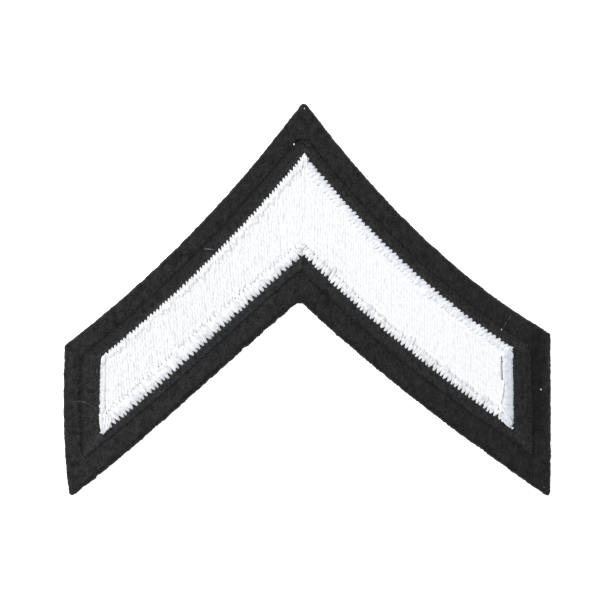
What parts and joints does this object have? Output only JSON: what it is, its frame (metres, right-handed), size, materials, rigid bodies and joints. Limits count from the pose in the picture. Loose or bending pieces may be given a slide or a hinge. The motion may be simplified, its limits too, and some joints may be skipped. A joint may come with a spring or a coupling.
{
  "type": "rank chevron patch",
  "caption": "Flat embroidered sleeve chevron: white satin-stitched chevron with a black stitched border on black felt.",
  "frame": {"origin": "under the middle of the cut outline, on the flat back of the felt", "axes": "+X across the patch to its right arm, +Y to the point of the chevron, +Z out of the stitched face"},
  "size_m": [0.0762, 0.0612, 0.0023],
  "materials": {
    "felt": "matt black wool felt",
    "black_thread": "black satin stitching with a low sheen",
    "white_thread": "white satin stitching with a silky sheen"
  },
  "bodies": {
    "root": {"ground_cloth": "felt", "black_border": "black_thread", "white_edging": "white_thread", "white_field": "white_thread"}
  },
  "joints": []
}
